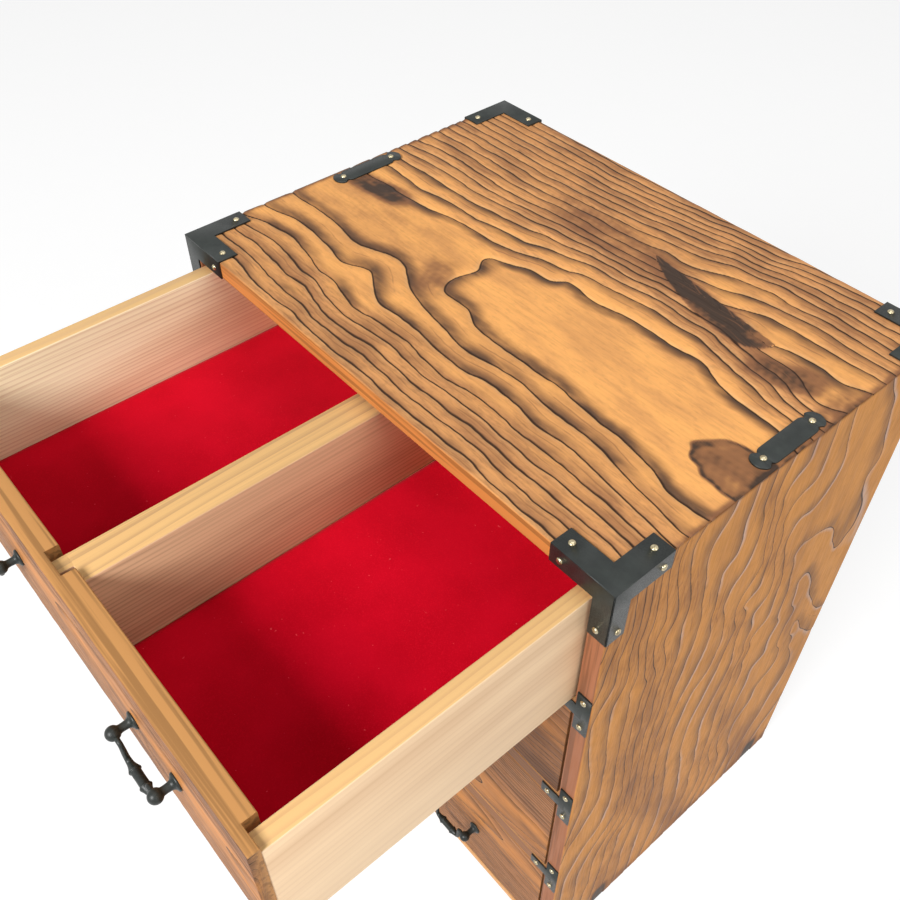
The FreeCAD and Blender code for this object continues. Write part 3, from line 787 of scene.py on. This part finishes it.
# %% Drawer fronts
HOUSING, PLAY, DIVIDER_PLAY = 5.5, 2.5, 3.5
HAIR, CRUST = 0.01, 1.0
FRONT_ARRIS, FRONT_BRUSHING = 0.6, 0.4
FRONT_ACROSS, FRONT_STATIONS = 96, 370
FRONT_FIGURES = [(44, -60), (50, 75), (20, 64), (56, 58)]
# How much darker each front is made, the second front the most.
FRONT_DARKENING = [0.0, 0.3, 0.05, 0.0]


def front_figure(seed):
    """Nested tongues: the ring number rises with the square of the height above an axis, and along it.

    Each front has the height of its axis and the pace along it, in millimetres for one ring.
    """
    axis, pace = FRONT_FIGURES[seed]

    def figure(u, v):
        u, v = wander(u, v, seed + 70)
        bowed = v - axis - 4 * np.sin(u / 55 + seed) - 2.5 * swell(u * 0.4, v * 0.4, 40, seed + 60)
        return 2.3 * (bowed / 20) ** 2 * (1 - 0.25 * np.abs(bowed) / 90) + u / pace + 0.35 * seed

    return figure


def front_board(drawer, seed):
    """One front: brushed outside, and stepped inside, where it gets thinner below an unchanged crust."""
    node = f"{drawer}_front"
    low, high = span(node)
    size = high - low
    rebate = high[0] - span(f"{drawer}_right_side")[0][0] + PLAY
    housings = [(-1, rebate, 0), (size[0] - rebate, size[0] + 1, 0)]
    step = None
    if drawer == "top_drawer":
        left, _, step = span("top_drawer_divider")[0] - low
        housings.append((left - DIVIDER_PLAY, left + TONGUE_WIDE / MM + DIVIDER_PLAY, step))

    def ends(w, d):
        return np.zeros_like(w), np.full_like(w, size[0])

    def char_and_shade(u, v):
        return np.clip(0.25 * swell(u * 0.4, v, 40, seed + 80) - 0.12 + FRONT_DARKENING[seed], 0, 0.5)

    def trim(g, w, d):
        thick = np.full(g.shape, size[1])
        for start, end, floor in housings:
            thick = np.where((g > start) & (g < end) & (w >= floor), size[1] - HOUSING, thick)
        return np.where(d > CRUST, CRUST + (d - CRUST) * (thick - CRUST) / (size[1] - CRUST), d)

    walls = np.array([wall for start, end, _ in housings for wall in (start, end) if 0 < wall < size[0]])
    doubled = [(walls - HAIR) / size[0], (walls + HAIR) / size[0]]
    stations = np.sort(np.concatenate([np.linspace(0, 1, FRONT_STATIONS), *doubled]))
    loop = section_loop(size[2], size[1], FRONT_ARRIS, FRONT_ACROSS, step)
    points, marks = brushed_board(
        low, size, (0, 2, 1), (1, 1, 1), loop, stations, ends, front_figure(seed), seed, char_and_shade,
        lambda u, v: FRONT_BRUSHING, trim)
    make_piece(f"{drawer}_brushed_front", [points], drawer, front_cedar, [node], marks)


for number, drawer in enumerate(DRAWERS):
    front_board(drawer, number)

# %% [markdown]
# ## Boards that stay plain
# Rails, bottoms, runners and the back are flat planed boards already right in the CAD model, so they only
# get a finish. The foot battens are stained dark, a colour that also stands in for the shade in the notches
# where their ends show.

# %% Plain boards
# A dark stain, which also stands in for the shade in the notches where the batten ends show.
STAIN_AND_SHADE = (52, 42, 36)
plain_cedar = pale_cedar("plain board cedar", 0, (0, 120, 260), (226, 172, 108), (186, 126, 78), BARE)
upright_cedar = pale_cedar("runner cedar", 1, (260, 0, 160), BARE, (188, 130, 84), BARE)
rail_cedar = pale_cedar("rail cedar", 0, (0, 90, 300), (140, 92, 56), (98, 64, 40), BARE)
dark_cedar = pale_cedar("dark batten cedar", 0, (0, 90, 300), STAIN_AND_SHADE, (30, 24, 20), STAIN_AND_SHADE)
PLAIN = [
    (rail_cedar, ["upper_rail", "middle_rail", "lower_rail"]),
    (plain_cedar, ["bottom_panel", "back_panel", *(f"{drawer}_bottom" for drawer in DRAWERS)]),
    (dark_cedar, ["front_foot_batten", "back_foot_batten"]),
    (upright_cedar, ["drawer_runners"]),
]
for cedar, nodes in PLAIN:
    for node in nodes:
        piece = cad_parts[node]
        piece.data.materials.clear()
        piece.data.materials.append(cedar)
print("rails, boards, battens and runners dressed")

# %% [markdown]
# ## Black iron
# The irons are thin sheet, cut in strips and folded over the edges. Each pair of arms is one strip that
# turns a square corner: a rounded rectangle carried along a path, with a mitre where the path turns.


# %% Iron and strips
def black_iron(name):
    """Dark lacquered metal with a slight green cast, cloudy and worn a little brighter in places."""
    material, surface = new_finish(name)
    cloud = grain_noise(160.0, 4.0)
    speck = grain_noise(1400.0, 2.0)
    worn = [(ease(cloud, 0.3, 0.75), (43, 48, 45)), (ease(speck, 0.62, 0.8, 0.0, 0.4), (68, 72, 68))]
    metal = paint((30, 34, 32), worn)
    rough = ease(speck, 0.3, 0.8, 0.34, 0.5)
    plug(surface, {"Base Color": metal, "Roughness": rough, "Specular IOR Level": 0.35})
    return material


iron = black_iron("black iron")
SHEET, STRIP_EDGE = 0.8 * MM, 0.28 * MM


def strip(corners, across, up, width):
    """A strip of sheet along a path of corners on its middle: the section is stretched where the path turns.

    At each corner across is the way that the width lies, and up the way that the thickness lies.
    """
    a, b = rounded(width, SHEET, STRIP_EDGE, STRIP_EDGE)
    corners, across, up = (np.array(rows, dtype=float)[:, None] for rows in (corners, across, up))
    return corners + a[:, None] * across + b[:, None] * up


def angle_plate(corner, first, second, normal, length, other, width):
    """An angle of two arms from a corner point along two ways, on the face with the given normal."""
    corner, first, second, normal = (np.array(v, dtype=float) for v in (corner, first, second, normal))
    middle = corner + normal * SHEET / 2
    path = [
        middle + first * length + second * width / 2,
        middle + (first + second) * width / 2,
        middle + second * other + first * width / 2,
    ]
    return strip(path, [-second, -(first + second), -first], [normal] * 3, width)


print("iron strips of sheet", round(SHEET / MM, 2), "mm thick")

# %% [markdown]
# ## Corner irons
# Three angles, one on each face, make a corner iron. Their outer corners meet outside the wood by the
# thickness of the sheet, and the arms on the front are narrower than those on the top and the side.

# %% Corner irons
ARM, WIDE, EDGE = 30.0 * MM, 9.7 * MM, 8.6 * MM
case_top = top_high[2] * MM
front_y = case_low.y
SIDES = (("left", case_low.x, 1), ("right", case_high.x, -1))
ENDS = (("front", front_y, 1), ("back", case_high.y, -1))
for hand, side_x, inward in SIDES:
    for end, end_y, back in ENDS:
        x_way, y_way, down = (inward, 0, 0), (0, back, 0), (0, 0, -1)
        skin_x, skin_y, lifted = side_x - inward * SHEET, end_y - back * SHEET, case_top + SHEET / 2
        reach = ARM + SHEET
        plates = [
            angle_plate((skin_x, skin_y, case_top), x_way, y_way, (0, 0, 1), reach, reach, WIDE + SHEET),
            angle_plate((skin_x, end_y, lifted), x_way, down, (0, -back, 0), reach, ARM, EDGE + SHEET),
            angle_plate((side_x, skin_y, lifted), y_way, down, (-inward, 0, 0), reach, ARM, WIDE),
        ]
        node = f"top_{end}_{hand}_iron"
        make_piece(f"corner_{end}_{hand}_iron", plates, "case", iron, [node])

# %% [markdown]
# ## Plates on the top
# The edge plates have a straight body, a neck and a horned head at each end. Their outline is a width
# that changes along the length, so one strip with a changing section is enough.


# %% Edge plates
def edge_plate(node):
    """A plate along Y whose half width follows body, round shoulder, neck, hollow flare and flat arc."""
    low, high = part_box(node)
    middle = (low + high) / 2
    half_length, half_width = (high.y - low.y) / 2, (high.x - low.x) / 2
    body, neck, horn, narrow = 11.8 * MM, 14.4 * MM, 17.0 * MM, 3.5 * MM
    turn = np.linspace(0, np.pi / 2, 12)[1:]
    y = np.concatenate([np.linspace(0, body, 6), body + (neck - body) * np.sin(turn),
                        np.linspace(neck, horn, 9)[1:], horn + (half_length - horn) * np.sin(turn)])
    shoulder = narrow + (half_width - narrow) * np.sqrt(np.clip(1 - ((y - body) / (neck - body)) ** 2, 0, 1))
    flare = narrow + (half_width - narrow) * ((y - neck) / (horn - neck)) ** 2
    head = half_width * np.sqrt(np.clip(1 - ((y - horn) / (half_length - horn)) ** 2, 0.006, 1))
    half = np.select([y <= body, y <= neck, y <= horn], [half_width, shoulder, flare], head)
    path = np.concatenate([-y[::-1], y[1:]])
    halves = np.concatenate([half[::-1], half[1:]])[:, None]
    thick, rim, least = high.z - low.z, 0.25 * MM, 0.1 * MM
    side = np.array([1, 1, 1, -1, -1, -1])
    rim_in = np.array([0, 0, rim, rim, 0, 0])
    height = np.array([0, thick - rim, thick, thick, thick - rim, 0])
    x = middle.x + side * np.maximum(halves - rim_in, least)
    shell = points_of(x, middle.y + path[:, None], low.z + height)
    make_piece(node.replace("edge_plate", "top_plate"), [shell], "case", iron, [node])


edge_plate("left_edge_plate")
edge_plate("right_edge_plate")

# %% [markdown]
# ## Plates on the stiles
# A stile plate is an upright strip with a short arm out along the rail. The arm stands a hair proud of the
# upright, so that the two faces never lie in one plane and flicker.

# %% Stile plates
PLATE_WIDE, PLATE_TALL, PLATE_INSET = 7.4 * MM, 26.2 * MM, 0.3 * MM
PLATE_REACH, PLATE_ARM, PROUD = 18.6 * MM, 7.2 * MM, 0.02 * MM
rails = [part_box(rail) for rail in ("lower_rail", "middle_rail", "upper_rail")]
rail_middles = [(low.z + high.z) / 2 for low, high in rails]
out = [(0, -1, 0)] * 2
plates = []
for z in rail_middles:
    for _, side_x, inward in SIDES:
        x = side_x + inward * (PLATE_INSET + PLATE_WIDE / 2)
        y = front_y - SHEET / 2
        upright = [(x, y, z - PLATE_TALL / 2), (x, y, z + PLATE_TALL / 2)]
        arm = [(x, y - PROUD, z), (side_x + inward * PLATE_REACH, y - PROUD, z)]
        plates.append(strip(upright, [(1, 0, 0)] * 2, out, PLATE_WIDE))
        plates.append(strip(arm, [(0, 0, 1)] * 2, out, PLATE_ARM))
make_piece("stile_angles", plates, "case", iron, ["stile_plates"])

# %% [markdown]
# ## Dome-headed nails
# A nail head is a half circle of rings: the cosine gives each ring's radius and the sine its height. The
# same small dome is turned to face up, forwards, back or sideways at each place.


# %% Nails
def brass(name):
    """Pale polished brass with dull flecks."""
    material, surface = new_finish(name)
    fleck = grain_noise(900.0, 3.0)
    metal = blend(ease(fleck, 0.4, 0.75), (194, 182, 150), (122, 108, 80))
    rough = ease(fleck, 0.3, 0.8, 0.16, 0.34)
    plug(surface, {"Base Color": metal, "Roughness": rough, "Metallic": 0.9})
    return material


def circle(count):
    """Angles evenly around a circle."""
    return np.linspace(0, 2 * np.pi, count, endpoint=False)


HEAD, CROWN = 1.55 * MM, 0.95 * MM


def dome(foot, normal):
    """A dome on a face: radius by cosine, height by sine, about the normal."""
    rise = np.radians([-12, 0, 22, 45, 66, 82])[:, None, None]
    around = circle(16)[:, None]
    normal = np.array(normal, dtype=float)
    first = np.roll(normal, 1)
    second = np.cross(normal, first)
    ring = np.cos(around) * first + np.sin(around) * second
    return np.array(foot) + HEAD * np.cos(rise) * ring + CROWN * np.sin(rise) * normal


NAIL_FAR, NAIL_NEAR = 24.9 * MM, 4.75 * MM
PLATE_NAIL, ARM_NAIL, EDGE_NAIL = 9.2 * MM, 14.8 * MM, 15.6 * MM
domes = []
for _, side_x, inward in SIDES:
    far_x, near_x, skin_x = (side_x + inward * step for step in (NAIL_FAR, NAIL_NEAR, -SHEET))
    for _, end_y, back in ENDS:
        far_y, near_y, skin_y = (end_y + back * step for step in (NAIL_FAR, NAIL_NEAR, -SHEET))
        domes += [
            dome((far_x, near_y, case_top + SHEET), (0, 0, 1)),
            dome((near_x, far_y, case_top + SHEET), (0, 0, 1)),
            dome((far_x, skin_y, case_top - NAIL_NEAR), (0, -back, 0)),
            dome((near_x, skin_y, case_top - NAIL_FAR), (0, -back, 0)),
            dome((skin_x, far_y, case_top - NAIL_NEAR), (-inward, 0, 0)),
            dome((skin_x, near_y, case_top - NAIL_FAR), (-inward, 0, 0)),
        ]
    plate_x, arm_x = side_x + inward * (PLATE_INSET + PLATE_WIDE / 2), side_x + inward * ARM_NAIL
    for middle in rail_middles:
        spots = [(plate_x, middle - PLATE_NAIL), (plate_x, middle + PLATE_NAIL), (arm_x, middle)]
        domes += [dome((x, front_y - SHEET, z), (0, -1, 0)) for x, z in spots]
for node in ("left_edge_plate", "right_edge_plate"):
    low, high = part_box(node)
    middle = (low + high) / 2
    domes += [dome((middle.x, middle.y + step, high.z), (0, 0, 1)) for step in (-EDGE_NAIL, EDGE_NAIL)]
make_piece("nail_heads", domes, "case", brass("pale brass"), ["dome_nails"])

# %% [markdown]
# ## Handles
# Each handle hangs from two turned posts. A post is a profile spun about its axis: flange, neck and ball.
# The bail is a round bar along a bent path, thin at the pins, swelling to a collar and stepping down to the
# grip, so its radius is a function of the length along the path.

# %% Posts
SPACING, REACH, BALL = 30.0, 8.0, 2.9
handle_iron = black_iron("handle iron")


def post(foot):
    """A post out of the front at a foot point: radius by distance from the wood, spun about Y."""
    ball = np.radians(np.linspace(-52, 84, 12))
    out = np.concatenate([[-1.0, 0.0, 0.5, 0.9, 1.2, 1.7, 2.6, 4.2, 5.4], REACH + BALL * np.sin(ball)])
    radius = np.concatenate([[3.0, 3.7, 3.75, 3.45, 2.7, 2.0, 1.7, 1.6, 1.65], BALL * np.cos(ball)])
    around = circle(24)
    shell = points_of(radius[:, None] * np.cos(around), -out[:, None], radius[:, None] * np.sin(around))
    return foot + shell * MM


print("a post stands", REACH + BALL, "mm out of the front")

# %% Bails
PIN_END, HALF, DROP, ELBOW, BEND, COLLAR = 15.4, 9.5, 10.5, 1.6, 2.6, 2.4
SPOTS = [0, 3.3, 3.55, 3.7, 4.0, 4.4, 5.6, 7.2, 9.5, 13.0, 17.5, 40]
RADII = [1.9, 1.95, 1.95, 2.4, 2.45, 2.25, 1.75, 1.35, 1.15, 1.12, 1.0, 1.0]


def bail(centre):
    """The bail hanging from a hinge line through its centre: pins, elbows, arms, corners, grip."""
    turn = np.linspace(0, np.pi / 2, 9)[1:]
    arm, bow = HALF + ELBOW, HALF - BEND
    x = np.concatenate([np.linspace(PIN_END, arm, 6), arm - ELBOW * np.sin(turn), np.full(6, HALF),
                        bow + BEND * np.cos(turn), np.linspace(bow, 0, 30)[1:]])
    z = np.concatenate([np.zeros(6), ELBOW * np.cos(turn) - ELBOW, np.linspace(-ELBOW, BEND - DROP, 8)[1:-1],
                        BEND - DROP - BEND * np.sin(turn), np.full(29, -DROP)])
    x, z = np.concatenate([x, -x[-2::-1]]), np.concatenate([z, z[-2::-1]])
    run = np.concatenate([[0], np.cumsum(np.hypot(np.diff(x), np.diff(z)))])
    radius = np.interp(np.abs(run - run[-1] / 2), SPOTS, RADII)[:, None]
    way_x, way_z = np.gradient(x, run), np.gradient(z, run)
    size = np.hypot(way_x, way_z)
    around = circle(20)
    beside = radius * np.cos(around)
    bar_x = x[:, None] - beside * (way_z / size)[:, None]
    bar_z = z[:, None] + beside * (way_x / size)[:, None]
    return centre + points_of(bar_x, radius * np.sin(around), bar_z) * MM


for drawer in DRAWERS:
    face_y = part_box(f"{drawer}_front")[0].y
    feet = []
    for hand in ("left", "right"):
        node = f"{drawer}_{hand}_bail"
        low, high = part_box(node)
        pin = np.array(((low.x + high.x) / 2, face_y, low.z + (DROP + COLLAR) * MM))
        feet += [pin + np.array((side * SPACING / 2, 0, 0)) * MM for side in (-1, 1)]
        hanging = bail(pin - np.array((0, REACH, 0)) * MM)
        make_piece(f"{drawer}_{hand}_pull", [hanging], node, handle_iron, [node])
    posts = [post(foot) for foot in feet]
    make_piece(f"{drawer}_posts", posts, drawer, handle_iron, [f"{drawer}_handle_posts"])

# %% [markdown]
# ## Felt liners
# The felt is a soft sheet laid on the drawer's bottom. Its surface is a grid with a faint swell, as felt
# never lies quite flat, and the finish is a deep red with short fibres that catch the light.


# %% Felt
def red_felt(name):
    """Red wool felt: fine mottling, a few specks of lint and a little sheen."""
    material, surface = new_finish(name)
    wool = grain_noise(1800.0, 3.0)
    patch = grain_noise(30.0, 3.0)
    lint = grain_noise(700.0, 1.0)
    red = paint((200, 3, 32), [
        (ease(patch, 0.3, 0.7), (186, 1, 26)),
        (ease(wool, 0.45, 0.75, 0.0, 0.5), (214, 14, 40)),
        (ease(lint, 0.76, 0.82, 0.0, 0.5), (236, 90, 100)),
    ])
    dull = {"Roughness": 0.95, "Specular IOR Level": 0.05, "Sheen Weight": 0.03}
    plug(surface, {"Base Color": red, **dull})
    return material


felt = red_felt("red felt")
COLUMNS, ROWS = 60, 90
SETTLED, LIFT = 0.1, 0.02
RIPPLE, RIPPLE_LENGTH = 0.08, 45
TUCK, TUCK_REACH = 0.35, 0.8


def felt_sheet(node, drawer, seed):
    """A closed thin sheet: the loop runs over the top, which swells a tenth of a millimetre, and back."""
    low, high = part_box(node)
    size = np.array(high - low) / MM
    across = np.linspace(0, size[0], COLUMNS)
    run = np.linspace(0, size[1], ROWS)[:, None]
    edge = np.minimum(np.minimum(across, size[0] - across), np.minimum(run, size[1] - run))
    tucked = TUCK * np.exp(-edge / TUCK_REACH)
    top = size[2] - SETTLED + RIPPLE * swell(across, run, RIPPLE_LENGTH, seed) - tucked
    x = np.concatenate([across, across[::-1]])
    z = np.concatenate([top, np.full_like(top, LIFT)], axis=1)
    shell = np.array(low) + points_of(x, run, z) * MM
    piece = make_piece(node.replace("_felt", "_liner"), [shell], drawer, felt, [node])


felt_sheet("top_drawer_left_felt", "top_drawer", seed=1)
felt_sheet("top_drawer_right_felt", "top_drawer", seed=2)
for number, drawer in enumerate(DRAWERS[1:]):
    felt_sheet(f"{drawer}_felt", drawer, seed=3 + number)

# %% [markdown]
# ## Floor
# The chest stands on a plain white floor. The floor glows a little for the camera and for reflections, so
# the ground stays white, but a share of it is ordinary paint that keeps the shadow.

# %% Floor
WHITE = (255, 255, 255)
GLOW, GLOW_SHARE, HALF_FLOOR = 1.12, 0.72, 6.0


def seen_rays():
    """1 for rays that show a thing to the eye, straight, mirrored or through glass, 0 for the others."""
    rays = add("ShaderNodeLightPath", {}).outputs
    seen = calc("MAXIMUM", rays["Is Camera Ray"], rays["Is Glossy Ray"])
    return calc("MAXIMUM", seen, rays["Is Transmission Ray"])


def white_floor(name):
    """White paint, with a glow for the rays that show it."""
    material, _ = new_finish(name)
    grain = grain_noise(40.0, 2.0)
    coat = blend(grain, (246, 246, 246), (252, 252, 252))
    diffuse = add("ShaderNodeBsdfDiffuse", {"Color": coat}).outputs[0]
    glow = add("ShaderNodeEmission", {"Color": WHITE, "Strength": GLOW}).outputs[0]
    share = times(seen_rays(), GLOW_SHARE)
    mixed = add("ShaderNodeMixShader", {0: share, 1: diffuse, 2: glow}).outputs[0]
    plug(network.nodes["Material Output"], {"Surface": mixed})
    return material


floor_mesh = bpy.data.meshes.new("floor")
corners = [(x * HALF_FLOOR, y * HALF_FLOOR, 0) for x, y in ((-1, -1), (1, -1), (1, 1), (-1, 1))]
floor_mesh.from_pydata(corners, [], [(0, 1, 2, 3)])
floor_mesh.materials.append(white_floor("white floor"))
floor = bpy.data.objects.new("floor", floor_mesh)
scene.collection.objects.link(floor)
print("a white floor", 2 * HALF_FLOOR, "m wide")

# %% [markdown]
# ## Light
# Three soft lamps light the chest: one overhead, a strong one in front as a window, and a fill from the
# right. The sky gives little light of its own, but looks white to the camera and in reflections.

# %% Light
SKY_LIGHT = 0.13
LAMP_TARGET = Vector((0, 0, 0.3))
world = bpy.data.worlds.new("studio")
scene.world = world
world.use_nodes = True
open_network(world.node_tree)
brightness = ease(seen_rays(), 0.0, 1.0, SKY_LIGHT, 1.0)
plug(network.nodes["Background"], {"Color": WHITE, "Strength": brightness})


def softbox(name, place, size, power):
    """A square area light that looks at the upper part of the chest."""
    lamp = bpy.data.objects.new(name, bpy.data.lights.new(name, "AREA"))
    lamp.data.size = size
    lamp.data.energy = power
    lamp.location = place
    lamp.rotation_euler = (LAMP_TARGET - Vector(place)).to_track_quat("-Z", "Y").to_euler()
    scene.collection.objects.link(lamp)


softbox("overhead", (0.2, 0.25, 1.7), size=1.2, power=5.5)
softbox("window", (0.3, -1.5, 1.36), size=0.7, power=40.0)
softbox("fill", (1.4, 0.1, 1.2), size=1.0, power=8.0)
print("sky and three soft lamps")
